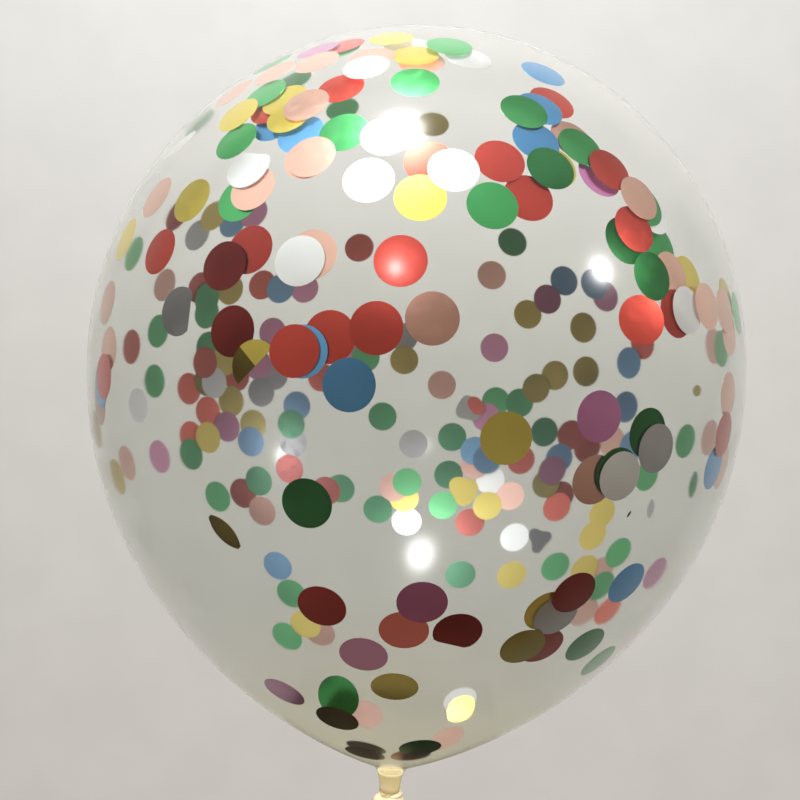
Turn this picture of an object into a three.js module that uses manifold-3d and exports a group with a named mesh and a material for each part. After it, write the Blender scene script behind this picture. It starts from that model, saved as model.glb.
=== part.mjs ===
// A round clear latex balloon, blown up, knotted and lying on its side.
// Millimetres, +Z up. The balloon's axis runs along Y, level, at the height of its widest radius less
// the shallow flat that it settles on. The crown points to +Y and the knot to -Y. The origin is the
// centre of the flat, straight below the widest section.
import * as THREE from 'three';
import { mergeVertices } from 'three/addons/utils/BufferGeometryUtils.js';
import Module from 'manifold-3d';

// Envelope: lengths along the axis are taken from its widest section
const WIDEST_RADIUS = 125;
const CROWN_LENGTH = 130;
const BODY_LENGTH = 156; // widest section to the start of the neck
const NECK_RADIUS = 9.5;
const NECK_SLOPE = THREE.MathUtils.degToRad(66); // between the axis and the film where the neck starts

// How far each outline curve runs straight on before it bends, as a share of its radius or length
const CROWN_POLE_REACH = 0.584;
const CROWN_SIDE_REACH = 0.522;
const BODY_SIDE_REACH = 0.52;
const BODY_NECK_REACH = 60; // mm along the slope at the neck

// Neck, knot and tail
const NECK_LENGTH = 12;
const THROAT_RADIUS = 4.2;
const KNOT_RING_RADIUS = 3.9;
const KNOT_ROLL_RADIUS = 2.9;
const KNOT_TILT = THREE.MathUtils.degToRad(14);
const KNOT_LENGTH = 7;
const TAIL_LENGTH = 20;
const TAIL_ROOT_RADIUS = 3.6;
const LIP_RADIUS = 10.5;
const LIP_BEAD_RADIUS = 1.3;
const MOUTH_DEPTH = 3;
const TAIL_FLATNESS = 0.38; // thickness of the tail at its lip, as a share of its width

// The flat that the balloon settles on, and how much more the block that cuts it takes in
const FLAT_HALF_WIDTH = 19;
const CUT_MARGIN = 10;

// How finely each shape is faceted
const ROUND_SEGMENTS = 64;
const CROWN_STEPS = 18;
const BODY_STEPS = 20;
const NECK_STEPS = 5;
const KNOT_ROLL_SEGMENTS = 12;
const TAIL_SEGMENTS = 32;
const TAIL_STEPS = 7;
const BEAD_STEPS = 6;
const MERGE_DISTANCE = 1e-4;

// Height of each place along the axis, and of the axis above the floor
const THROAT_Y = -BODY_LENGTH - NECK_LENGTH;
const NECK_BEND_Y = -BODY_LENGTH - (NECK_RADIUS - THROAT_RADIUS) / Math.tan(NECK_SLOPE);
const KNOT_Y = THROAT_Y - KNOT_LENGTH / 2;
const TAIL_ROOT_Y = KNOT_Y + KNOT_ROLL_RADIUS / 3; // inside the knot, so that all is one piece
const LIP_Y = THROAT_Y - KNOT_LENGTH - TAIL_LENGTH + LIP_BEAD_RADIUS;
const AXIS_HEIGHT = Math.sqrt(WIDEST_RADIUS ** 2 - FLAT_HALF_WIDTH ** 2);

const wasm = await Module();
wasm.setup();

const point = (radius, y) => new THREE.Vector2(radius, y);

// Crown: pole to widest section. It leaves the pole square to the axis and meets the widest section
// along the axis.
function crownOutline() {
  return new THREE.CubicBezierCurve(
    point(0, CROWN_LENGTH),
    point(WIDEST_RADIUS * CROWN_POLE_REACH, CROWN_LENGTH),
    point(WIDEST_RADIUS, CROWN_LENGTH * CROWN_SIDE_REACH),
    point(WIDEST_RADIUS, 0),
  ).getPoints(CROWN_STEPS);
}

// Body: widest section down to the start of the neck, which it reaches at the neck slope.
function bodyOutline() {
  return new THREE.CubicBezierCurve(
    point(WIDEST_RADIUS, 0),
    point(WIDEST_RADIUS, -BODY_LENGTH * BODY_SIDE_REACH),
    point(
      NECK_RADIUS + BODY_NECK_REACH * Math.sin(NECK_SLOPE),
      -BODY_LENGTH + BODY_NECK_REACH * Math.cos(NECK_SLOPE),
    ),
    point(NECK_RADIUS, -BODY_LENGTH),
  ).getPoints(BODY_STEPS);
}

// Neck: it goes on along the neck slope and bends to run straight down the throat inside the knot.
function neckOutline() {
  return new THREE.QuadraticBezierCurve(
    point(NECK_RADIUS, -BODY_LENGTH),
    point(THROAT_RADIUS, NECK_BEND_Y),
    point(THROAT_RADIUS, THROAT_Y),
  ).getPoints(NECK_STEPS);
}

function envelope() {
  const outline = [
    ...crownOutline(),
    ...bodyOutline().slice(1),
    ...neckOutline().slice(1),
    point(THROAT_RADIUS, KNOT_Y),
    point(0, KNOT_Y),
  ];
  return new THREE.LatheGeometry(outline.reverse(), ROUND_SEGMENTS);
}

// Knot: the neck rolled once round itself, a thick ring that sits a little askew on the throat.
function knot() {
  const ring = new THREE.TorusGeometry(
    KNOT_RING_RADIUS,
    KNOT_ROLL_RADIUS,
    KNOT_ROLL_SEGMENTS,
    TAIL_SEGMENTS,
  );
  ring.rotateX(Math.PI / 2 + KNOT_TILT);
  ring.translate(0, KNOT_Y, 0);
  return ring;
}

// Tail: the end of the neck below the knot, flared and pressed flat, with the rolled bead of the
// mouth round its rim and a shallow recess inside it.
function tail() {
  const flare = new THREE.QuadraticBezierCurve(
    point(TAIL_ROOT_RADIUS, TAIL_ROOT_Y),
    point(TAIL_ROOT_RADIUS, (TAIL_ROOT_Y + LIP_Y) / 2),
    point(LIP_RADIUS, LIP_Y + LIP_BEAD_RADIUS),
  ).getPoints(TAIL_STEPS);
  const bead = [];
  for (let i = 0; i <= BEAD_STEPS; i += 1) {
    const turn = THREE.MathUtils.lerp(Math.PI / 4, -Math.PI, i / BEAD_STEPS);
    bead.push(point(
      LIP_RADIUS + LIP_BEAD_RADIUS * Math.cos(turn),
      LIP_Y + LIP_BEAD_RADIUS * Math.sin(turn),
    ));
  }
  const recess = LIP_Y + MOUTH_DEPTH - LIP_BEAD_RADIUS;
  const outline = [
    point(0, TAIL_ROOT_Y),
    ...flare,
    ...bead,
    point(LIP_RADIUS - 2 * LIP_BEAD_RADIUS, recess),
    point(0, recess),
  ];
  const geometry = new THREE.LatheGeometry(outline.reverse(), TAIL_SEGMENTS);
  const position = geometry.attributes.position;
  for (let i = 0; i < position.count; i += 1) {
    const along = THREE.MathUtils.smoothstep(TAIL_ROOT_Y - position.getY(i), 0, TAIL_ROOT_Y - LIP_Y);
    position.setZ(i, position.getZ(i) * THREE.MathUtils.lerp(1, TAIL_FLATNESS, along));
  }
  return geometry;
}

// A closed mesh as a solid: shared vertices merged, and the collapsed triangles at the poles dropped.
function solidOf(geometry) {
  const bare = geometry.clone();
  bare.deleteAttribute('normal');
  bare.deleteAttribute('uv');
  const merged = mergeVertices(bare, MERGE_DISTANCE);
  const index = merged.index.array;
  const triangles = [];
  for (let i = 0; i < index.length; i += 3) {
    const [a, b, c] = [index[i], index[i + 1], index[i + 2]];
    if (a !== b && b !== c && c !== a) {
      triangles.push(a, b, c);
    }
  }
  return new wasm.Manifold(new wasm.Mesh({
    numProp: 3,
    vertProperties: new Float32Array(merged.attributes.position.array),
    triVerts: new Uint32Array(triangles),
  }));
}

function geometryOf(solid) {
  const mesh = solid.getMesh();
  const geometry = new THREE.BufferGeometry();
  geometry.setAttribute('position', new THREE.BufferAttribute(mesh.vertProperties, 3));
  geometry.setIndex(new THREE.BufferAttribute(mesh.triVerts, 1));
  geometry.computeVertexNormals();
  return geometry;
}

// Everything below the flat, at the height of the floor under the level axis.
function floorBlock() {
  const depth = WIDEST_RADIUS - AXIS_HEIGHT + CUT_MARGIN;
  const side = 2 * WIDEST_RADIUS;
  const block = new THREE.BoxGeometry(side, side, depth);
  block.translate(0, 0, -AXIS_HEIGHT - depth / 2);
  return block;
}

const whole = solidOf(envelope())
  .add(solidOf(knot()))
  .add(solidOf(tail()))
  .subtract(solidOf(floorBlock()));

const balloon = new THREE.Mesh(
  geometryOf(whole),
  new THREE.MeshStandardMaterial({
    color: 0xe9e7dc,
    roughness: 0.12,
    metalness: 0,
    transparent: true,
    opacity: 0.3,
  }),
);
balloon.name = 'balloon';
balloon.position.z = AXIS_HEIGHT;

const part = new THREE.Group();
part.add(balloon);

export default part;
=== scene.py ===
"""A blown-up clear latex balloon with round foil confetti clinging to the inside of its wall.

It lies on its side: the axis runs along Y, the crown points to +Y and the knot to -Y. A place on the
wall is given by its turn round the axis, in degrees from straight up and positive towards +X, and
its height along the axis, in millimetres from the widest section towards the crown.
"""

import math

import bpy
import numpy as np
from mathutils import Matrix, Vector


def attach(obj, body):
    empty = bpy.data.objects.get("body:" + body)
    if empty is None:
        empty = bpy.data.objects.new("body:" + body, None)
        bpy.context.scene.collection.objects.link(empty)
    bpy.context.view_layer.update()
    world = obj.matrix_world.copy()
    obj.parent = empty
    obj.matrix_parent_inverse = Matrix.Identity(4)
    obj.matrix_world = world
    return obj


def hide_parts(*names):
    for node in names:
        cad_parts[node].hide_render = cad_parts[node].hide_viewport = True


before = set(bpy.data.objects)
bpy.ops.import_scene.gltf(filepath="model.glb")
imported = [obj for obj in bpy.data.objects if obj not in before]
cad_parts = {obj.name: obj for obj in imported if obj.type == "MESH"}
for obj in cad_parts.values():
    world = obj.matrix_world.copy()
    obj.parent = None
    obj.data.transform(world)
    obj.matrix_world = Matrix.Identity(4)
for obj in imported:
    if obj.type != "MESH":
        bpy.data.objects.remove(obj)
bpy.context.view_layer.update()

MM = 0.001
FULL_TURN = 2 * math.pi

# The balloon, in millimetres, as its solid has it
WIDEST_RADIUS = 125
CROWN_LENGTH = 130
BODY_LENGTH = 156
NECK_RADIUS = 9.5
NECK_SLOPE = math.radians(66)
CROWN_POLE_REACH = 0.584
CROWN_SIDE_REACH = 0.522
BODY_SIDE_REACH = 0.52
BODY_NECK_REACH = 60
NECK_LENGTH = 12
THROAT_RADIUS = 4.2
KNOT_LENGTH = 7
TAIL_LENGTH = 20
TAIL_ROOT_RADIUS = 3.6
LIP_RADIUS = 10.5
LIP_BEAD_RADIUS = 1.3
TAIL_FLATNESS = 0.38
FLAT_HALF_WIDTH = 19
THROAT_HEIGHT = -BODY_LENGTH - NECK_LENGTH
KNOT_HEIGHT = THROAT_HEIGHT - KNOT_LENGTH / 2
TAIL_ROOT_HEIGHT = KNOT_HEIGHT + 1
LIP_HEIGHT = THROAT_HEIGHT - KNOT_LENGTH - TAIL_LENGTH + LIP_BEAD_RADIUS
AXIS_LIFT = math.sqrt(WIDEST_RADIUS**2 - FLAT_HALF_WIDTH**2)

FILM_THICKNESS = 0.22
FLAT_CREASE = 0.5  # how softly the film bends where it meets the floor
SLEEVE_TOP = -160  # height below which the neck is thick
SLEEVE_THICKNESS = 0.45
SLEEVE_GAP = 0.1  # between the sleeve and the film
LOOSE_LATEX_THICKNESS = 0.5

CONFETTI_RADIUS = 7.5
CONFETTI_THICKNESS = 0.06
CONFETTI_SIDES = 28
CONFETTI_BOW = 0.0009  # metres of bow at one disc's width from its middle
CLING_GAP = 0.12  # between the film and the nearest confetti
LAYER_STEP = 0.4  # between confetti that lie over each other
MOST_LEAN = math.radians(1.0)  # how far a whole piece may lean away from the wall
SEED = 7

# The camera, which looks straight down on the widest section, in millimetres
CAMERA_ACROSS = -5.27
CAMERA_ALONG = -11.71
CAMERA_ABOVE_AXIS = 385.1
CAMERA_ROLL = math.radians(3.5)
CAMERA_LENS = 43.28
CAMERA_SENSOR = 36

# The studio, in metres
FLOOR_HALF_WIDTH = 4.0
CARD_HALF_WIDTH = 0.075
CARD_HEIGHT = 0.185
CARD_BACK = -0.22


# ---- Outlines ----------------------------------------------------------------------------------

def bezier(controls, steps):
    """Points along a curve: each control point is weighted by its binomial share of t and 1 - t."""
    t = np.linspace(0, 1, steps + 1)[:, None]
    degree = len(controls) - 1
    return sum(
        math.comb(degree, k) * t**k * (1 - t) ** (degree - k) * np.array(control, float)
        for k, control in enumerate(controls)
    )


def balloon_outline(crown_steps=90, body_steps=100, neck_steps=12):
    """(radius, height) down the wall: crown pole, widest section, neck and throat, as three curves."""
    crown = bezier([
        (0, CROWN_LENGTH),
        (WIDEST_RADIUS * CROWN_POLE_REACH, CROWN_LENGTH),
        (WIDEST_RADIUS, CROWN_LENGTH * CROWN_SIDE_REACH),
        (WIDEST_RADIUS, 0),
    ], crown_steps)
    neck_pull = (
        NECK_RADIUS + BODY_NECK_REACH * math.sin(NECK_SLOPE),
        -BODY_LENGTH + BODY_NECK_REACH * math.cos(NECK_SLOPE),
    )
    body = bezier([
        (WIDEST_RADIUS, 0),
        (WIDEST_RADIUS, -BODY_LENGTH * BODY_SIDE_REACH),
        neck_pull,
        (NECK_RADIUS, -BODY_LENGTH),
    ], body_steps)
    bend = (NECK_RADIUS - THROAT_RADIUS) / math.tan(NECK_SLOPE)
    neck = bezier([
        (NECK_RADIUS, -BODY_LENGTH),
        (THROAT_RADIUS, -BODY_LENGTH - bend),
        (THROAT_RADIUS, THROAT_HEIGHT),
    ], neck_steps)
    return np.concatenate([crown, body[1:], neck[1:]])


def outward(outline):
    """Unit normals of an outline that runs from crown to throat: its direction turned a quarter turn."""
    run = np.gradient(outline, axis=0)
    normal = np.stack([-run[:, 1], run[:, 0]], axis=1)
    return normal / np.linalg.norm(normal, axis=1)[:, None]


WALL = balloon_outline()
WALL_NORMAL = outward(WALL)


def wall_at(height):
    """Radius of the wall, and its unit normal as (away from the axis, along it), at each height."""
    down = -WALL[:, 1]
    radius = np.interp(-height, down, WALL[:, 0])
    away = np.interp(-height, down, WALL_NORMAL[:, 0])
    along = np.interp(-height, down, WALL_NORMAL[:, 1])
    length = np.hypot(away, along)
    return radius, away / length, along / length


# ---- Surfaces ----------------------------------------------------------------------------------

def around(profile, turns):
    """Points of a profile of (radius, height) swept round the axis, one column to each turn."""
    radius, height = profile[:, :1], profile[:, 1:]
    x = radius * np.sin(turns)
    y = height * np.ones_like(turns)
    z = radius * np.cos(turns)
    return np.stack([x, y, z], axis=2)


def settled(points, lift):
    """Points raised so that none is under the floor: height above it is half its sum with its size."""
    raised = points.copy()
    above = points[..., 2] + AXIS_LIFT - lift
    raised[..., 2] = lift + (above + np.sqrt(above**2 + FLAT_CREASE**2)) / 2 - AXIS_LIFT
    return raised


def skin_faces(rows, columns, poles):
    """Faces of a grid whose columns close round. With poles, its first and last rows are points."""
    row = np.arange(rows if not poles else rows - 1)[:, None]
    column = np.arange(columns)[None, :]
    here = row * columns + column
    beside = row * columns + (column + 1) % columns
    below = (row + 1) % rows * columns
    quads = np.stack([here, below + column, below + (column + 1) % columns, beside], axis=2)
    if not poles:
        return quads.reshape(-1, 4).tolist()
    first = quads[0][:, [0, 1, 2]]
    last = quads[-1][:, [0, 1, 3]]
    first[:, 0] = 0
    last[:, 1] = (rows - 1) * columns
    return first.tolist() + quads[1:-1].reshape(-1, 4).tolist() + last.tolist()


def mesh_piece(name, points, faces, materials, smooth=True):
    """An object from points in millimetres about the widest section's centre, and its faces."""
    places = (points.reshape(-1, 3) + (0, 0, AXIS_LIFT)) * MM
    used = np.unique(np.concatenate([np.ravel(face) for face in faces]))
    renumber = np.zeros(len(places), int)
    renumber[used] = np.arange(len(used))
    mesh = bpy.data.meshes.new(name)
    mesh.from_pydata(places[used].tolist(), [], [renumber[face].tolist() for face in faces])
    mesh.polygons.foreach_set("use_smooth", [smooth] * len(faces))
    for material in materials:
        mesh.materials.append(material)
    piece = bpy.data.objects.new(name, mesh)
    bpy.context.scene.collection.objects.link(piece)
    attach(piece, "root")
    return piece


def film_points(columns=192):
    """Both faces of the film: the wall's outline, and back up it one film thickness further in."""
    turns = np.arange(columns) * FULL_TURN / columns
    inside = WALL - WALL_NORMAL * FILM_THICKNESS
    inside[0] = (0, CROWN_LENGTH - FILM_THICKNESS)
    outer = settled(around(WALL, turns), 0)
    inner = settled(around(inside, turns), FILM_THICKNESS)
    return np.concatenate([outer, inner[::-1]])


def sleeve_points(columns=96):
    """The thick cream end of the neck: a closed band just inside the film, down to the throat. Its
    thickness grows with the square root of the way down it."""
    thinnest = 0.15  # at its top edge, before the root
    band = WALL[:, 1] < SLEEVE_TOP
    normal = WALL_NORMAL[band]
    fade = np.linspace(thinnest, 1, band.sum())[:, None] ** 0.5
    outer = WALL[band] - normal * (FILM_THICKNESS + SLEEVE_GAP)
    inner = outer - normal * SLEEVE_THICKNESS * fade
    turns = np.arange(columns) * FULL_TURN / columns
    return around(np.concatenate([outer, inner[::-1]]), turns)


def knot_points(columns=28, rows=120):
    """A rolled strand wound one and two-thirds times round the throat: a helix whose thickness is the
    sine of half a turn along it, raised to a small power so that its ends are blunt, times a shallow
    three-stranded twist."""
    windings = 1.66
    ring_radius = 3.5
    spread = 0.5  # how much wider its ring is at the end
    climb = 3.6  # how far the helix runs down the throat
    tilt = 0.8
    strand_radius = 2.35
    bluntness = 0.35
    along = np.linspace(0, 1, rows)[:, None]
    turn = FULL_TURN * windings * along
    around_strand = np.arange(columns) * FULL_TURN / columns
    swell = np.sin(math.pi * along) ** bluntness
    twist = 1 + 0.07 * np.cos(3 * around_strand + 16 * along) + 0.03 * np.cos(40 * along)
    strand = strand_radius * swell * twist
    reach = ring_radius + spread * along + strand * np.cos(around_strand)
    x = reach * np.sin(turn)
    y = KNOT_HEIGHT + climb * (0.5 - along) + tilt * np.sin(turn) - strand * np.sin(around_strand)
    z = reach * np.cos(turn)
    return np.stack([x, y, z], axis=2)


def tail_points(columns=128, flare_steps=36, bead_steps=20):
    """The flared tail: a sheet that widens from the knot along a bell curve, rolls round the bead of
    its lip and runs back inside to a closed root. It flattens towards the lip, the pleats gathered by
    the knot die away along it, and the lip waves once up and down across its width."""
    flare = bezier([
        (TAIL_ROOT_RADIUS, TAIL_ROOT_HEIGHT),
        (TAIL_ROOT_RADIUS, (TAIL_ROOT_HEIGHT + LIP_HEIGHT) / 2),
        (LIP_RADIUS, LIP_HEIGHT + LIP_BEAD_RADIUS),
    ], flare_steps)
    roll = np.linspace(0.25, -1.1, bead_steps)[:, None] * math.pi
    bead = np.concatenate([
        LIP_RADIUS + LIP_BEAD_RADIUS * np.cos(roll),
        LIP_HEIGHT + LIP_BEAD_RADIUS * np.sin(roll),
    ], axis=1)
    inside = flare[-3:4:-1] - (LOOSE_LATEX_THICKNESS, 0)  # short of the bead and of the root
    root = np.array([[0, TAIL_ROOT_HEIGHT]])
    inner_root = np.array([[0, inside[-1, 1]]])
    turns = np.arange(columns) * FULL_TURN / columns
    points = around(np.concatenate([root, flare, bead, inside, inner_root]), turns)
    down = np.clip((TAIL_ROOT_HEIGHT - points[..., 1]) / (TAIL_ROOT_HEIGHT - LIP_HEIGHT), 0, 1)
    pleats = 0.13 * (1 - down) ** 1.2 * np.sin(9 * turns + 1.5 * np.sin(2 * turns))
    ripples = 0.03 * down * np.sin(5 * turns)
    wave = 1.4 * down**2
    points[..., 0] *= 1 + pleats + ripples
    points[..., 2] *= (1 + pleats + ripples) * (1 - (1 - TAIL_FLATNESS) * down**0.8)
    points[..., 2] += wave * np.sin(2 * points[..., 0] / LIP_RADIUS)
    return points


# ---- Node helpers ------------------------------------------------------------------------------

# Which sockets of a Mix node are its two colours and their mix
FIRST_COLOUR, SECOND_COLOUR, MIXED_COLOUR = 6, 7, 2


def add_node(tree, kind, settings=None, **inputs):
    """A node of that kind, with its settings and the plain values of its named inputs."""
    node = tree.nodes.new(kind)
    for name, value in (settings or {}).items():
        setattr(node, name, value)
    for name, value in inputs.items():
        node.inputs[name.replace("_", " ")].default_value = value
    return node


def maths(tree, operation, first, second=0.0, clamp=False):
    """A Math node on two values, each a socket or a number; its output."""
    node = add_node(tree, "ShaderNodeMath", {"operation": operation, "use_clamp": clamp})
    for socket, value in zip(node.inputs, (first, second)):
        if isinstance(value, bpy.types.NodeSocket):
            tree.links.new(value, socket)
        else:
            socket.default_value = value
    return node.outputs[0]


def ranged(tree, value, low, high, start=0.0, end=1.0):
    """A value's run from low to high as a smooth run from start to end."""
    node = add_node(tree, "ShaderNodeMapRange", {"interpolation_type": "SMOOTHSTEP"})
    tree.links.new(value, node.inputs["Value"])
    for name, number in (("From Min", low), ("From Max", high), ("To Min", start), ("To Max", end)):
        node.inputs[name].default_value = number
    return node.outputs[0]


def mixed(tree, share, first, second):
    """Two colours mixed by a share, each a socket or four numbers; the colour output."""
    node = add_node(tree, "ShaderNodeMix", {"data_type": "RGBA"})
    tree.links.new(share, node.inputs["Factor"])
    for place, value in ((FIRST_COLOUR, first), (SECOND_COLOUR, second)):
        if isinstance(value, bpy.types.NodeSocket):
            tree.links.new(value, node.inputs[place])
        else:
            node.inputs[place].default_value = value
    return node.outputs[MIXED_COLOUR]


def noise(tree, place, scale, detail, drift=None):
    """A Noise Texture on a place; with a drift, it is four-dimensional and moves along with that."""
    node = add_node(tree, "ShaderNodeTexNoise", Scale=scale, Detail=detail)
    if drift is not None:
        node.noise_dimensions = "4D"
        tree.links.new(drift, node.inputs["W"])
    tree.links.new(place, node.inputs["Vector"])
    return node.outputs["Fac"]


def new_group(name, inputs, outputs):
    """A node group with named float inputs and outputs of given kinds; (group, input, output)."""
    group = bpy.data.node_groups.new(name, "ShaderNodeTree")
    for title, value in inputs.items():
        socket = group.interface.new_socket(title, in_out="INPUT", socket_type="NodeSocketFloat")
        socket.default_value = value
    for title, kind in outputs.items():
        group.interface.new_socket(title, in_out="OUTPUT", socket_type=kind)
    return group, group.nodes.new("NodeGroupInput"), group.nodes.new("NodeGroupOutput")


def disc_bow(group):
    """Height of a disc that bows with the wall: it falls off with the square of the distance from the
    middle of its map on the outer side, and rises so on the inner side."""
    disc = add_node(group, "ShaderNodeUVMap", {"uv_map": "disc"})
    centred = add_node(group, "ShaderNodeVectorMath", {"operation": "SUBTRACT"})
    centred.inputs[1].default_value = (0.5, 0.5, 0)
    middle = add_node(group, "ShaderNodeVectorMath", {"operation": "LENGTH"})
    group.links.new(disc.outputs["UV"], centred.inputs[0])
    group.links.new(centred.outputs[0], middle.inputs[0])
    fall = maths(group, "MULTIPLY", maths(group, "POWER", middle.outputs["Value"], 2.0), -CONFETTI_BOW)
    inward = add_node(group, "ShaderNodeAttribute", {"attribute_name": "inward"})
    twice = maths(group, "MULTIPLY", inward.outputs["Fac"], 2.0)
    return maths(group, "MULTIPLY", fall, maths(group, "SUBTRACT", 1.0, twice))


def foil_surface_group():
    """Thin foil that clings to a curved wall: it bows with the wall, is dented by handling and has a
    fine rolled grain. Its tone is painted light and shade: how light a piece looks, set piece by piece
    to how lit or shaded it is, with a soft drift over it that follows the dents."""
    group, given, made = new_group(
        "foil_surface",
        {"Dent Depth": 0.00005, "Grain Depth": 0.000004},
        {"Tone and Shade": "NodeSocketFloat", "Roughening": "NodeSocketFloat", "Normal": "NodeSocketVector"},
    )
    place = add_node(group, "ShaderNodeTexCoord")
    # Each piece's tone is painted light and shade: it is set as light or dark as the piece looks lit or
    # shaded
    tone_and_shade = add_node(group, "ShaderNodeAttribute", {"attribute_name": "tone_and_shade"})
    far_apart = 37.0  # so that pieces of nearly the same tone are dented differently
    drift = maths(group, "MULTIPLY", tone_and_shade.outputs["Fac"], far_apart)
    dents = noise(group, place.outputs["Object"], 48, 1.5, drift)
    grain = noise(group, place.outputs["Object"], 1900, 2)
    scuffs = noise(group, place.outputs["Object"], 260, 3, drift)
    dented = maths(group, "MULTIPLY", dents, given.outputs["Dent Depth"])
    grained = maths(group, "MULTIPLY", grain, given.outputs["Grain Depth"])
    height = maths(group, "ADD", maths(group, "ADD", disc_bow(group), dented), grained)
    bump = add_node(group, "ShaderNodeBump", Strength=1.0, Distance=1.0)
    group.links.new(height, bump.inputs["Height"])
    lightening = maths(group, "MULTIPLY", maths(group, "SUBTRACT", dents, 0.5), 0.35)
    soft_tone_and_shade = maths(group, "ADD", tone_and_shade.outputs["Fac"], lightening, clamp=True)
    group.links.new(soft_tone_and_shade, made.inputs["Tone and Shade"])
    group.links.new(ranged(group, scuffs, 0.45, 0.75), made.inputs["Roughening"])
    group.links.new(bump.outputs[0], made.inputs["Normal"])
    return group


def latex_bloom_group():
    """Rubber film: slow swells in its thickness, fine orange peel, and a faint bloom in patches. It also
    gives a mask that rises from the crown towards the knot, partly thicker latex and partly painted
    shade, and a mask for the cream neck.
    """
    group, given, made = new_group(
        "latex_bloom",
        {"Swell Depth": 0.00006, "Peel Depth": 0.000001},
        {"Bloom": "NodeSocketFloat", "Thickness": "NodeSocketFloat", "Cream": "NodeSocketFloat",
         "Normal": "NodeSocketVector"},
    )
    place = add_node(group, "ShaderNodeTexCoord")
    swell = noise(group, place.outputs["Object"], 9, 2)
    peel = noise(group, place.outputs["Object"], 420, 2)
    patches = noise(group, place.outputs["Object"], 24, 4)
    swollen = maths(group, "MULTIPLY", swell, given.outputs["Swell Depth"])
    peeled = maths(group, "MULTIPLY", peel, given.outputs["Peel Depth"])
    height = maths(group, "ADD", swollen, peeled)
    bump = add_node(group, "ShaderNodeBump", Strength=1.0, Distance=1.0)
    group.links.new(height, bump.inputs["Height"])
    split = add_node(group, "ShaderNodeSeparateXYZ")
    group.links.new(place.outputs["Object"], split.inputs[0])
    # Rises from the crown towards the knot: partly thicker latex, partly painted shade
    group.links.new(ranged(group, split.outputs["Y"], 0.11, -0.03), made.inputs["Thickness"])
    group.links.new(ranged(group, split.outputs["Y"], -0.095, -0.158), made.inputs["Cream"])
    group.links.new(ranged(group, patches, 0.4, 0.75), made.inputs["Bloom"])
    group.links.new(bump.outputs[0], made.inputs["Normal"])
    return group


FOIL_SURFACE = foil_surface_group()
LATEX_BLOOM = latex_bloom_group()


def shaded_material(name, group, **values):
    """A material with one Principled shader, the group feeding its Normal; (material, tree, group
    node, shader)."""
    material = bpy.data.materials.new(name)
    material.use_nodes = True
    tree = material.node_tree
    shader = tree.nodes["Principled BSDF"]
    effect = add_node(tree, "ShaderNodeGroup")
    effect.node_tree = group
    for title, value in values.items():
        effect.inputs[title.replace("_", " ")].default_value = value
    tree.links.new(effect.outputs["Normal"], shader.inputs["Normal"])
    return material, tree, effect, shader


# ---- Materials ---------------------------------------------------------------------------------

def film_material():
    """Clear latex, faintly hazy and turning cream where it is thick at the neck. It also greys from the
    crown towards the knot: partly thicker latex, partly painted shade that stands in for the shadow the
    film doesn't cast. The film is far too thin to bend light, so it refracts almost nothing and its
    shine is all in the coat, which is stronger at a glance than face on and gone where the film is
    thick and unstretched."""
    material, tree, latex, shader = shaded_material("clear_latex", LATEX_BLOOM)
    # Greyer film towards the knot: partly thicker latex, partly painted shade standing in for the shadow
    # the film doesn't cast
    film = mixed(tree, latex.outputs["Thickness"], (0.985, 0.99, 0.975, 1), (0.83, 0.845, 0.82, 1))
    colour = mixed(tree, latex.outputs["Cream"], film, (0.88, 0.87, 0.76, 1))
    tree.links.new(colour, shader.inputs["Base Color"])
    tree.links.new(ranged(tree, latex.outputs["Bloom"], 0, 1, 0.2, 0.26), shader.inputs["Roughness"])
    glance = add_node(tree, "ShaderNodeLayerWeight", Blend=0.5)
    shine = ranged(tree, glance.outputs["Facing"], 0.42, 0.72, 0.22, 0.5)
    stretched = ranged(tree, latex.outputs["Cream"], 0.02, 0.3, 1, 0)
    tree.links.new(maths(tree, "MULTIPLY", shine, stretched), shader.inputs["Coat Weight"])
    shader.inputs["Transmission Weight"].default_value = 1.0
    shader.inputs["IOR"].default_value = 1.01
    shader.inputs["Coat IOR"].default_value = 1.5
    shader.inputs["Coat Roughness"].default_value = 0.15
    return material


def cream_latex_material():
    """Unstretched latex: ivory, cloudy and softly shiny, with powder in patches."""
    material, tree, latex, shader = shaded_material(
        "cream_latex", LATEX_BLOOM, Swell_Depth=0.0004, Peel_Depth=0.00001)
    colour = mixed(tree, latex.outputs["Bloom"], (0.72, 0.60, 0.36, 1), (0.82, 0.73, 0.53, 1))
    tree.links.new(colour, shader.inputs["Base Color"])
    tree.links.new(ranged(tree, latex.outputs["Bloom"], 0, 1, 0.28, 0.5), shader.inputs["Roughness"])
    shader.inputs["Subsurface Weight"].default_value = 0.35
    shader.inputs["Subsurface Radius"].default_value = (0.004, 0.003, 0.0015)
    shader.inputs["Subsurface Scale"].default_value = 1.0
    return material


def foil_material(name, deep, light, dull_deep, dull_light):
    """Coloured foil. Its outer side is bright metal from deep to light by tone, and the side that
    faces into the balloon is duller. The tone is painted light and shade, set piece by piece to how
    lit or shaded each piece looks."""
    material, tree, foil, shader = shaded_material(name, FOIL_SURFACE)
    inward = add_node(tree, "ShaderNodeAttribute", {"attribute_name": "inward"}).outputs["Fac"]
    # Painted light and shade: the tone sets how lit or shaded each piece's colour looks
    bright = mixed(tree, foil.outputs["Tone and Shade"], (*deep, 1), (*light, 1))
    dull = mixed(tree, foil.outputs["Tone and Shade"], (*dull_deep, 1), (*dull_light, 1))
    tree.links.new(mixed(tree, inward, bright, dull), shader.inputs["Base Color"])
    scuffed = maths(tree, "MULTIPLY", foil.outputs["Roughening"], 0.07)
    rough = maths(tree, "ADD", ranged(tree, inward, 0, 1, 0.285, 0.37), scuffed)
    tree.links.new(rough, shader.inputs["Roughness"])
    tree.links.new(ranged(tree, inward, 0, 1, 1.0, 0.75), shader.inputs["Metallic"])
    return material
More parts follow.
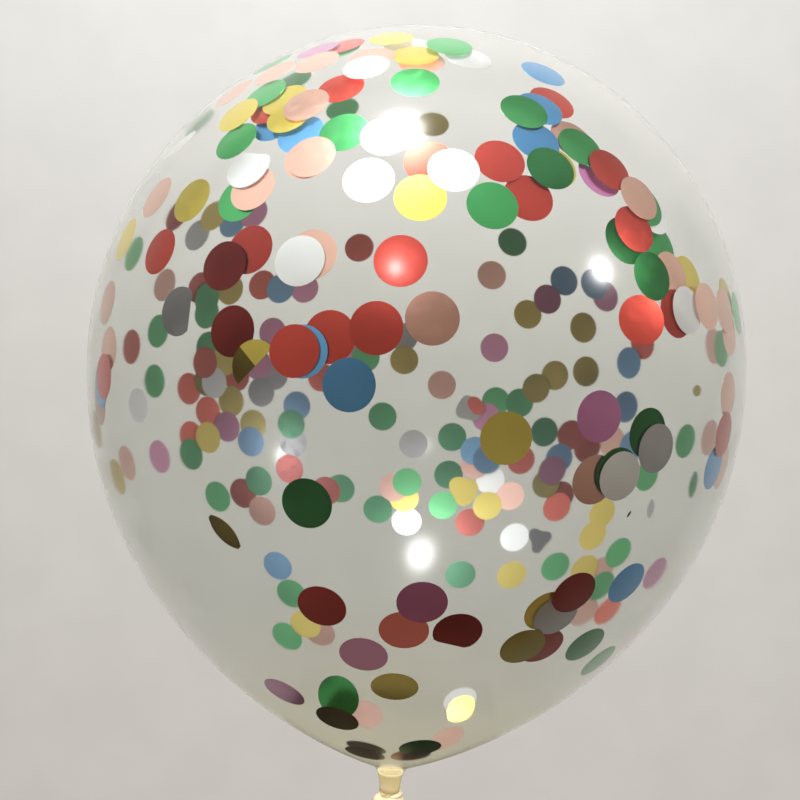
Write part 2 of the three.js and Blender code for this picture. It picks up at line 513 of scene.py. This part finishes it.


# Foil colours: outer side from deep to light, then the side that faces in from deep to light.
# The tone of each piece picks its place in these, so the deep ends serve as painted shade.
FOILS = {
    "red": ((0.10, 0.008, 0.008), (0.82, 0.11, 0.08), (0.15, 0.05, 0.05), (0.60, 0.16, 0.13)),
    "rose_gold": ((0.18, 0.06, 0.04), (0.98, 0.62, 0.50), (0.25, 0.15, 0.13), (0.75, 0.48, 0.42)),
    "green": ((0.006, 0.05, 0.012), (0.12, 0.62, 0.20), (0.05, 0.12, 0.08), (0.14, 0.45, 0.20)),
    "blue": ((0.01, 0.05, 0.11), (0.16, 0.46, 0.85), (0.08, 0.13, 0.20), (0.18, 0.34, 0.52)),
    "gold": ((0.06, 0.04, 0.006), (0.95, 0.78, 0.16), (0.14, 0.12, 0.06), (0.66, 0.54, 0.16)),
    "silver": ((0.07, 0.07, 0.075), (0.96, 0.97, 0.98), (0.14, 0.14, 0.15), (0.80, 0.81, 0.83)),
    "purple": ((0.10, 0.03, 0.06), (0.74, 0.28, 0.58), (0.16, 0.08, 0.12), (0.52, 0.26, 0.40)),
}


# ---- Confetti ----------------------------------------------------------------------------------

# Whole round pieces, by foil: (turn in degrees, height in mm, layers under the film, tone 0 to 1).
# The tone is painted light and shade: each piece is set as light or dark as it looks lit or shaded.
ROUND_CONFETTI = {
    "silver": [
        (-14.5, 91.5, 0, 1), (7, 99, 2, 1), (-8, 105, 3, 1), (-7.5, 64.5, 0, 1), (3, 54.5, 0, 0.95),
        (-9, 50, 0, 1), (-17, 25.5, 0, 0.8), (-56, 53, 1, 0.9),
        (37, 51, 3, 0.9), (41, 21, 1, 0.8), (35.5, -21.5, 0, 0.25), (29.5, -30, 0, 0.5),
        (26, -74.5, 1, 0.35),
        (-115.5, 57, 0, 0.3), (-129.5, -9, 2, 0.3), (-146, -3, 0, 0), (-142.5, -12, 2, 0),
        (-151, -37, 0, 0), (-105.5, -21, 0, 0.7), (-177.5, 21.5, 0, 0.15),
        (178.5, -34.5, 0, 0.2), (158, -50, 0, 0.85), (179, -73.5, 0, 1), (148, -76, 0, 0.9),
    ],
    "red": [
        (-26, 106, 2, 1), (-18, 83.5, 2, 0.9), (-31, 78, 3, 0.8), (-0.5, 57, 2, 0.9),
        (10, 59, 1, 0.45), (14, 48.5, 2, 0.35), (22.5, 84, 2, 0.9), (29.5, 62, 1, 0.5),
        (31.5, 43.5, 1, 0.4), (38.5, 19.5, 2, 0.35), (-42.5, 29.5, 0, 0.75),
        (-25, 29, 2, 0.35), (-28.5, 24, 0, 0.06), (-26, 5, 2, 0.04), (-3.5, 26.5, 0, 0.4),
        (-16.5, 0, 0, 0.6), (-12, 4.5, 3, 0.55), (-6, 7.5, 1, 0.45), (-56, -10, 0, 0.7),
        (54.5, -16.5, 0, 0.5), (-13.5, -74, 0, 0.28), (27.5, -66.5, 0, 0.12),
        (26.5, -86, 2, 0.2),
        (-139.5, 41, 0, 0.55), (-122, 35, 0, 0.4), (-102.5, 4, 0, 0.45), (-126.5, 0.5, 3, 0.25),
        (-136, -5, 0, 0.15), (-158, -2.5, 0, 0.3), (-122.5, -12.5, 0, 0.55), (-128, -23, 0, 0.55),
        (-122.5, -35, 0, 0.7), (-149.5, -50, 1, 0.1), (-159, -60.5, 1, 0.15),
        (-135.5, -61.5, 0, 0), (-163.5, 64.5, 0, 0.6), (120.5, 21.5, 0, 0.55),
        (151, -38.5, 0, 0.3), (138.5, -54, 0, 0), (138.5, -59.5, 1, 0.65), (161.5, -71.5, 0, 0.4),
        (104, -95.5, 0, 1), (139, -24, 0, 0.05), (134, -29.5, 1, 0.05), (-104.5, 62, 1, 0.2),
    ],
    "rose_gold": [
        (-27.5, 96, 0, 1), (-14.5, 96.5, 1, 1), (-3.5, 96.5, 4, 1), (-38, 94, 0, 1),
        (-47.5, 88, 0, 1), (-23, 76.5, 0, 0.9), (-18.5, 57.5, 0, 0.8), (-19, 57.3, 1, 0.8),
        (-27, 48, 1, 0.8), (-49.5, 49, 0, 0.95), (-15.5, 27.5, 1, 0.7), (24, 71, 3, 0.5),
        (34, 54, 0, 0.55), (38.5, 31.5, 3, 0.6), (46.5, 23.5, 0, 0.8), (54, 24, 1, 0.75),
        (56, 17, 2, 0.8), (55, -3.5, 1, 0.7), (59, -28, 2, 0.6), (-57, 14.5, 0, 0.7),
        (-55, -1, 2, 0.8), (-60, -19, 2, 0.4), (1, 11, 0, 0.3), (25.5, -31.5, 2, 0.3),
        (-110.5, 33, 0, 0.5), (-97, -45, 0, 0.7), (160.5, 55, 0, 0.4), (172.5, -2.5, 0, 0.25),
        (-140, -70, 1, 0), (162.5, -43, 1, 0.5), (-177, -57.5, 2, 0.4), (152, -57, 1, 0.95),
        (127.5, -25.5, 0, 0.65), (112.5, -99.5, 1, 0.5), (117, -83, 0, 0.5), (95, -19.5, 0, 0.6),
        (95.5, 18.5, 0, 0.7), (-147.5, -120.5, 0, 0.15), (-155, -147, 0, 0.55),
        (108.5, -149, 0, 0.8),
    ],
    "green": [
        (-4, 85, 0, 0.75), (2.8, 103.6, 0, 1), (-46, 101.5, 0, 0.7), (-26, 103.5, 3, 0.8),
        (-35, 84, 1, 0.9), (-34.5, 65.5, 1, 0.8), (-14.5, 66.5, 2, 0.6), (-29, 45, 2, 0.65),
        (15.5, 77.5, 0, 0.45), (25, 68.5, 2, 0.4), (18, 58.5, 0, 0.15), (8.5, 44.5, 0, 0.45),
        (35.5, 53, 2, 0.45), (29.5, 39.5, 2, 0), (37.5, 41, 6, 0.45), (33.5, 29.5, 0, 0.15),
        (33.5, -17, 1, 0.04), (29, -29, 1, 0.06), (-14.5, -42.5, 0, 0.1), (62, 25, 1, 0.7),
        (37, -86.5, 0, 0.25), (48, -96, 0, 0.4),
        (-97, 116, 0, 1), (-94, 41.5, 0, 1), (-80, 90, 0, 0.7), (-125.5, 24, 1, 0.35),
        (-124.5, 31, 2, 0.3), (-111.5, 12.5, 0, 0.5), (-127.5, 8, 0, 0.2), (-111.5, -10, 0, 0.45),
        (-150.5, -27.5, 1, 0), (-121.5, -43, 1, 0.3), (-140.5, -56, 1, 0.05),
        (-127.5, -62.5, 0, 0.4), (-163, -59, 0, 0.15), (154, 70.5, 0, 0.2), (-137, 116, 0, 1),
        (153, -9.5, 1, 0.2), (159, -9.5, 0, 0.4), (146, -23.5, 0, 0), (-173.5, -21, 0, 0.2),
        (169, -29.5, 0, 0.15), (169, -49, 0, 0), (179.5, -54.5, 3, 0.5), (-173, -68.5, 0, 0.15),
        (169.5, -64.5, 0, 0.65), (-168.5, 9.5, 1, 0.4), (91.5, 17, 1, 0.7), (104.5, -22, 0, 0.5),
        (115, -39, 0, 0.7), (161, -95.5, 0, 0.1), (132.5, -85.5, 0, 0.55), (114, -74, 1, 0.75),
        (113, -88.5, 2, 0.5), (-142, -105.5, 0, 0.35), (-132, -120.5, 0, 0.6),
    ],
    "blue": [
        (-28.5, 72, 5, 0.95), (-22, 66.5, 3, 1), (24, 96, 0, 1), (19, 80, 1, 0.8),
        (16.5, 67.5, 1, 0.45), (-15.5, 0, 1, 0.85), (-9, -8.5, 0, 0.4), (-58, -13, 1, 0.7),
        (53.5, -27.5, 1, 0.65), (38.5, -64.5, 0, 0.5),
        (-125, 66, 0, 0.8), (-144.5, 40.5, 1, 0.6), (-139.5, -37, 1, 0), (-152, -18, 0, 0),
        (141, 52, 0, 0.1), (132.5, 50, 1, 0.15), (124.5, 12.5, 1, 0.45), (125, -8.5, 0, 0.15),
        (163, -36, 2, 0.6), (159.5, -40, 3, 0.1), (141, -36, 1, 0), (-140.5, -94, 0, 0.5),
        (121.5, -27, 1, 0.6),
    ],
    "gold": [
        (-12.5, 107, 0, 1), (-5, 98.5, 2, 1), (-29, 80.5, 2, 0.95), (-38, 76, 0, 1),
        (-25.5, 73, 1, 0.95), (-38.5, 45.5, 0, 0.7), (-56, 36, 0, 1), (-1.5, 45.5, 1, 0.95),
        (18.7, 59.6, 2, 0.5), (43.5, 32, 5, 0.7), (57, 28.5, 3, 0.6), (11.5, -20.5, 0, 0.42),
        (-1, -101.5, 0, 0.7), (22, -85, 0, 0.22), (24, -73, 2, 0.6),
        (-117.5, 66.5, 1, 0.6), (-131, 36.5, 0, 0.3), (-127.5, -8, 1, 0), (-132.5, 2.5, 1, 0.3),
        (-134.5, -17.5, 1, 0.2), (-140.5, -28.5, 0, 0.1), (-127, -35.5, 3, 0.5),
        (-90, -49.5, 0, 0.6), (-82, -30, 0, 0.3), (151.5, 36, 0, 0.25), (137, 29.5, 0, 0.15),
        (136.5, 8, 0, 0.1), (144.5, 5.5, 0, 0.15), (149, -1.5, 2, 0.05), (-178, 9.5, 1, 0.2),
        (-180, -62.5, 1, 0.75), (157.5, -63, 2, 0.8), (143, -49, 2, 0.05), (125, -59, 0, 0.9),
        (125, -69.5, 1, 0.9), (122.5, -84, 1, 0.75), (145, -92.5, 0, 0.65), (-142.5, -117.5, 1, 0.65),
    ],
    "purple": [
        (-33, 105, 1, 1), (27.5, 60, 4, 0.7), (24.5, -13, 0, 0.45), (2.5, -70, 0, 0.5),
        (-29.5, -111, 0, 0.45),
        (-130, 72, 1, 0.9), (-151, 42, 0, 0.8), (-144.5, 18.5, 0, 0.4), (-141.5, 1.5, 1, 0.2),
        (-133, -30, 2, 0.1), (-111, -43.5, 0, 0.9), (-165.5, 13.5, 0, 0.6), (146, 43.5, 1, 0.05),
        (130, 44, 0, 0.4), (160, 18.5, 0, 0.6), (161, -18, 1, 0.55), (142, -42.5, 3, 0),
        (95, -76.5, 0, 0.7),
    ],
}


def wall_frame(turn, height):
    """For places on the wall: the point, its outward normal, and the tangents round and up it."""
    radius, away, along = wall_at(height)
    sine, cosine = np.sin(turn), np.cos(turn)
    point = np.stack([radius * sine, height, radius * cosine], axis=1)
    normal = np.stack([away * sine, along, away * cosine], axis=1)
    round_it = np.stack([cosine, np.zeros_like(turn), -sine], axis=1)
    up_it = np.cross(normal, round_it)
    return point, normal, round_it, up_it


def odd_confetti():
    """Pieces that are cut, crushed, turned over, lie quite flat or lean away from the wall, and two flat
    quarters that stand for a folded piece: (foil, turn, height, layers, tone, lean in degrees, which way
    it leans as a bearing from the crown, rim). The tone is painted light and shade. A lean of 180 is a
    piece that lies with its dull side out."""
    return [
        ("silver", -56, 71, 0, 1, 8, 0, round_rim()),
        ("silver", -29, 55, 0, 1, 0, 0, cut_rim(5.0, 8)),
        ("silver", -35.5, 10.5, 0, 0.13, 0, 0, cut_rim(4.6, 90)),
        ("red", 9, -79.5, 0, 0.18, 0, 0, cut_rim(5.4, 195)),
        ("red", 0, -80, 1, 1, 180, 0, round_rim()),
        ("purple", -7, -89.5, 0, 1, 180, 0, round_rim()),
        ("gold", -28.5, -54, 0, 0.0, 0, 0, lens_rim(14.5, 6.5, 135)),
        # These two flat gold quarters stand for one folded piece: the light one is a painted lit side and
        # the dark one a painted shaded side
        ("gold", -22, -4.7, 1, 0.55, 0, 0, wedge_rim(-45, 45)),
        ("gold", -22, -4.7, 1, 0.05, 0, 0, wedge_rim(-135, -45)),
        ("red", 32, 16.5, 1, 0.7, 16, -90, round_rim()),
        ("green", -18.7, -119.5, 6, 0.6, 42, 0, round_rim()),
        ("gold", -17.5, -120.5, 0, 0.12, 5, 0, round_rim()),
        ("gold", -16.5, -142, 0, 0.12, 3, 0, round_rim()),
        ("silver", -16.5, -142, 5, 0.1, 3, 0, round_rim()),
        ("green", 11, -134, 0, 0.2, 4, 0, round_rim()),
        ("rose_gold", 13, -145, 3, 0.1, 6, 0, round_rim()),
        ("gold", 115, -143.5, 4, 1, 36, 82, lens_rim(14, 10, 0)),
        ("silver", 135, -139.5, 0, 0.9, 0, 0, round_rim()),
        ("red", 33, -41.5, 0, 0, 0, 0, lens_rim(2.5, 0.8, 25)),
        ("silver", 165.5, -14.5, 3, 0.25, 4, 0, crumpled_rim(1.0, 3, 0.12, 0)),
        ("red", 163.5, -12.5, 4, 0.5, 6, 90, crumpled_rim(0.7, 2, 0.1, 40)),
        ("gold", 164.5, -56.5, 0, 0.85, 6, 30, crumpled_rim(1.15, 3, 0.1, 60)),
        ("silver", 140.5, -75.5, 0, 0, 4, 0, crumpled_rim(0.9, 3, 0.2, 180)),
        ("gold", 102.5, 0, 0, 0.4, 0, 0, lens_rim(7, 5, 90)),
        ("gold", 178, 116, 0, 0.6, 0, 0, round_rim()),
        ("green", 97, -39.5, 0, 0.4, 0, 0, lens_rim(13, 7, 20)),
        ("silver", 110, -53, 0, 0.4, 0, 0, lens_rim(10, 4.5, 20)),
    ]


def leaning(normal, across, up, lean, way):
    """A normal and its tangents after a lean by an angle towards a way on the wall."""
    toward = across * np.cos(way)[:, None] + up * np.sin(way)[:, None]
    tilted = normal * np.cos(lean)[:, None] + toward * np.sin(lean)[:, None]
    across = across - tilted * np.sum(across * tilted, axis=1)[:, None]
    across /= np.linalg.norm(across, axis=1)[:, None]
    return tilted, across, np.cross(tilted, across)


def piece_faces(count, sides):
    """Faces of flat pieces, each given by its outer rim and then its inner one, with so many sides."""
    ring = np.arange(sides)
    after = (ring + 1) % sides
    start = np.arange(count)[:, None] * 2 * sides
    outer = start + ring
    inner = start + sides + ring[::-1]
    edge = np.stack([ring, ring + sides, after + sides, after], axis=1)
    edges = (start[:, :, None] + edge).reshape(-1, 4)
    return outer.tolist() + inner.tolist() + edges.tolist()


def piece_marks(rim, tone_and_shade):
    """For each point of flat pieces: its place on a map of the whole disc, the tone of its piece
    (painted light and shade), and whether it is on the side that faces into the balloon."""
    sides = len(rim)
    spot = rim / (2 * CONFETTI_RADIUS) + 0.5
    return {
        "uv": np.tile(spot, (2 * len(tone_and_shade), 1)),
        "tone_and_shade": np.repeat(tone_and_shade, 2 * sides),
        "inward": np.tile(np.repeat([0.0, 1.0], sides), len(tone_and_shade)),
    }


def flat_pieces(places, rim, random, lean=None, bearing=0):
    """Points, faces and marks of flat pieces against the wall. Each is its rim twice, one foil
    thickness apart. It stands in from the film by its layers and by how far its rim must clear the
    curve of the wall, half its radius squared over the radius of that curve, and is lifted as a whole
    where it would go into the flat."""
    turn, height, layer, tone_and_shade = np.array(places, float).T
    turn = np.radians(turn)
    point, normal, across, up = wall_frame(turn, height)
    radius, away, _ = wall_at(height)
    way = random.uniform(0, FULL_TURN, len(turn))
    if lean is None:
        lean = random.uniform(0, MOST_LEAN, len(turn))
    else:
        lean = np.full(len(turn), math.radians(lean))
        way = np.full(len(turn), math.radians(90 - bearing))
    clear = CONFETTI_RADIUS**2 / 2 * away / radius + CONFETTI_RADIUS * np.sin(lean)
    stand = FILM_THICKNESS + CLING_GAP + layer * LAYER_STEP
    centre = point - normal * (stand + clear)[:, None]
    normal, across, up = leaning(normal, across, up, lean, way)
    sheet = centre[:, None] + rim[..., :1] * across[:, None] + rim[..., 1:] * up[:, None]
    half = normal[:, None] * CONFETTI_THICKNESS / 2
    points = np.stack([sheet + half, sheet - half], axis=1)
    rise = settled(points, stand[:, None, None])[..., 2] - points[..., 2]
    points[..., 2] += rise.max(axis=(1, 2), keepdims=True)
    return points.reshape(-1, 3), piece_faces(len(turn), len(rim)), piece_marks(rim, tone_and_shade)


def sweep(start=0, end=360):
    """Angles round a rim from start to end in degrees, clockwise from the crown as seen outside."""
    return np.radians(90 - np.linspace(end, start, CONFETTI_SIDES, endpoint=end - start < 360))


def rim_of(angle, reach):
    """A rim that stands off its middle by a reach at each angle."""
    return np.stack([reach * np.cos(angle), reach * np.sin(angle)], axis=1)


def round_rim():
    """The rim of a whole round piece."""
    angle = sweep()
    return rim_of(angle, np.full(len(angle), CONFETTI_RADIUS))


def cut_rim(short, facing):
    """A round rim with one straight side, short mm from its middle, facing some degrees clockwise
    from the crown: the reach is the least of the radius and short over the cosine from there."""
    angle = sweep()
    cosine = np.cos(angle - math.radians(90 - facing))
    return rim_of(angle, np.minimum(CONFETTI_RADIUS, short / np.maximum(cosine, 0.01)))


def lens_rim(length, width, facing):
    """Two equal arcs that meet in points, length mm apart along facing and width mm across."""
    angle = sweep()
    arc = (length**2 + width**2) / (4 * width)
    offset = arc - width / 2
    along = angle - math.radians(90 - facing)
    reach = np.sqrt(arc**2 - (offset * np.cos(along)) ** 2) - offset * np.abs(np.sin(along))
    return rim_of(angle, reach)


def wedge_rim(start, end):
    """A slice of a round piece between two bearings, pointed at its middle."""
    angle = sweep(start, end)
    return np.concatenate([rim_of(angle, np.full(len(angle), CONFETTI_RADIUS)), [[0, 0]]])


def crumpled_rim(size, lobes, depth, facing):
    """A crushed piece: size times the round reach, with some lobes that bulge and shrink by a depth."""
    angle = sweep()
    gathered = 0.85  # the share of the radius that is left
    bulge = depth * np.cos(lobes * (angle - math.radians(90 - facing)))
    skew = 0.06 * np.sin(2 * angle)
    return rim_of(angle, CONFETTI_RADIUS * size * (gathered + bulge + skew))


def joined(parts):
    """Several (points, faces, marks) as one."""
    points, faces, marks, shift = [], [], {}, 0
    for some_points, some_faces, some_marks in parts:
        points.append(some_points)
        faces += [[corner + shift for corner in face] for face in some_faces]
        for title, values in some_marks.items():
            marks.setdefault(title, []).append(values)
        shift += len(some_points)
    return np.concatenate(points), faces, {k: np.concatenate(v) for k, v in marks.items()}


def confetti_piece(foil, parts, material):
    """All the confetti of one foil as an object, with its rim map, its tone marks of painted light and
    shade, and its side marks.
    """
    points, faces, marks = joined(parts)
    piece = mesh_piece(f"confetti_{foil}", points, [np.array(face) for face in faces],
                       [material], smooth=False)
    mesh = piece.data
    # The tone marks carry painted light and shade
    for title in ("tone_and_shade", "inward"):
        mesh.attributes.new(title, "FLOAT", "POINT").data.foreach_set("value", marks[title])
    corners = np.empty(len(mesh.loops), int)
    mesh.loops.foreach_get("vertex_index", corners)
    mesh.uv_layers.new(name="disc").data.foreach_set("uv", marks["uv"][corners].ravel())
    piece.visible_shadow = False
    piece.visible_diffuse = False
    return piece


# ---- The balloon -------------------------------------------------------------------------------

film_grid = film_points()
film = mesh_piece("film", film_grid, skin_faces(*film_grid.shape[:2], poles=True), [film_material()])
film.visible_shadow = False
film.visible_diffuse = False
film.visible_glossy = False
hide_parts("balloon")

cream_latex = cream_latex_material()
for name, grid, poles in (
    ("neck_sleeve", sleeve_points(), False),
    ("knot", knot_points(), True),
    ("tail", tail_points(), True),
):
    part = mesh_piece(name, grid, skin_faces(*grid.shape[:2], poles=poles), [cream_latex])

random = np.random.default_rng(SEED)
for foil, places in ROUND_CONFETTI.items():
    parts = [flat_pieces(places, round_rim(), random)]
    for odd_foil, *place, lean, bearing, rim in odd_confetti():
        if odd_foil == foil:
            parts.append(flat_pieces([place], rim, random, lean, bearing))
    confetti_piece(foil, parts, foil_material(f"foil_{foil}", *FOILS[foil]))


# ---- Floor, light and camera -------------------------------------------------------------------

def studio_panel(name, corners, material):
    """A flat panel of the studio from its four corners in metres. It isn't part of the balloon."""
    mesh = bpy.data.meshes.new(name)
    mesh.from_pydata(corners, [], [(0, 1, 2, 3)])
    mesh.materials.append(material)
    piece = bpy.data.objects.new(name, mesh)
    bpy.context.scene.collection.objects.link(piece)
    return piece


def plain_material(name, roughness):
    """A material with one Principled shader of a plain roughness; (material, tree, shader)."""
    material = bpy.data.materials.new(name)
    material.use_nodes = True
    tree = material.node_tree
    shader = tree.nodes["Principled BSDF"]
    shader.inputs["Roughness"].default_value = roughness
    return material, tree, shader


def floor():
    """A wide flat floor with a pale, faintly mottled finish."""
    material, tree, shader = plain_material("pale_floor", 0.9)
    place = add_node(tree, "ShaderNodeTexCoord")
    mottle = ranged(tree, noise(tree, place.outputs["Object"], 30, 5), 0.3, 0.7)
    colour = mixed(tree, mottle, (0.485, 0.49, 0.485, 1), (0.505, 0.51, 0.505, 1))
    tree.links.new(colour, shader.inputs["Base Color"])
    side = FLOOR_HALF_WIDTH
    studio_panel("floor", [(-side, -side, 0), (side, -side, 0), (side, side, 0), (-side, side, 0)],
                 material)


def dark_card():
    """A small dark card that stands beyond the knot and is seen only in what is shiny."""
    material, _, shader = plain_material("dark_card", 1.0)
    shader.inputs["Base Color"].default_value = (0.04, 0.03, 0.02, 1)
    card = studio_panel("dark_card", [
        (-CARD_HALF_WIDTH, CARD_BACK, 0),
        (CARD_HALF_WIDTH, CARD_BACK, 0),
        (CARD_HALF_WIDTH, CARD_BACK, CARD_HEIGHT),
        (-CARD_HALF_WIDTH, CARD_BACK, CARD_HEIGHT),
    ], material)
    card.visible_camera = False
    card.visible_diffuse = False
    card.visible_transmission = False
    card.visible_shadow = False


def soft_light(name, place, size, power, colour=(1, 1, 1), in_gloss=True):
    """A round soft light aimed at the middle of the balloon from a place given in metres from it."""
    light = bpy.data.lights.new(name, "AREA")
    light.shape = "DISK"
    light.size = size
    light.energy = power
    light.color = colour
    lamp = bpy.data.objects.new(name, light)
    lamp.location = Vector(place) + Vector((0, 0, AXIS_LIFT * MM))
    lamp.rotation_euler = Vector(place).to_track_quat("Z", "Y").to_euler()
    bpy.context.scene.collection.objects.link(lamp)
    lamp.visible_glossy = in_gloss
    lamp.visible_transmission = in_gloss


def surroundings():
    """A studio that is bright beyond the crown, darker overhead and dim beyond the knot; straight in
    view it is a plain pale backdrop."""
    world = bpy.data.worlds.new("studio")
    bpy.context.scene.world = world
    world.use_nodes = True
    tree = world.node_tree
    tree.nodes.clear()
    place = add_node(tree, "ShaderNodeTexCoord")
    crownward = add_node(tree, "ShaderNodeVectorMath", {"operation": "DOT_PRODUCT"})
    crownward.inputs[1].default_value = (-0.25, 0.97, 0)
    tree.links.new(place.outputs["Generated"], crownward.inputs[0])
    dimness = ranged(tree, crownward.outputs["Value"], -0.5, -0.95)
    brightness = ranged(tree, crownward.outputs["Value"], 0.1, 0.95)
    overhead, beyond_knot, beyond_crown = (0.55, 0.49, 0.42, 1), (0.26, 0.18, 0.13, 1), (1.4, 1.42, 1.4, 1)
    colour = mixed(tree, dimness, overhead, beyond_knot)
    colour = mixed(tree, brightness, colour, beyond_crown)
    studio = add_node(tree, "ShaderNodeBackground", Strength=1.0)
    tree.links.new(colour, studio.inputs["Color"])
    backdrop = add_node(tree, "ShaderNodeBackground", Strength=1.0)
    backdrop.inputs["Color"].default_value = (0.74, 0.73, 0.72, 1)
    seen = add_node(tree, "ShaderNodeLightPath")
    choose = add_node(tree, "ShaderNodeMixShader")
    tree.links.new(seen.outputs["Is Camera Ray"], choose.inputs[0])
    tree.links.new(studio.outputs[0], choose.inputs[1])
    tree.links.new(backdrop.outputs[0], choose.inputs[2])
    output = add_node(tree, "ShaderNodeOutputWorld")
    tree.links.new(choose.outputs[0], output.inputs["Surface"])


def look_down():
    """The camera over the balloon, with its top towards the crown and rolled a little."""
    camera_data = bpy.data.cameras.new("camera")
    camera_data.lens = CAMERA_LENS
    camera_data.sensor_width = CAMERA_SENSOR
    camera = bpy.data.objects.new("camera", camera_data)
    camera.location = (CAMERA_ACROSS * MM, CAMERA_ALONG * MM, (AXIS_LIFT + CAMERA_ABOVE_AXIS) * MM)
    camera.rotation_euler = (0, 0, CAMERA_ROLL)
    bpy.context.scene.collection.objects.link(camera)
    bpy.context.scene.camera = camera


floor()
dark_card()
surroundings()
soft_light("window", (-0.07, 0.53, 0.225), size=0.11, power=2.6)
soft_light("broad_window", (-0.5, 0.74, 0.12), size=0.5, power=2.8, in_gloss=False)
soft_light("warm_bounce", (0, -0.6, 0.15), size=0.4, power=0.4, colour=(1, 0.6, 0.55), in_gloss=False)
soft_light("side_window", (1.45, 0.85, 0.79), size=0.15, power=13)
soft_light("ceiling_spot", (-0.08, 0.26, 0.55), size=0.03, power=0.25)

look_down()
bpy.context.scene.view_settings.view_transform = "Standard"
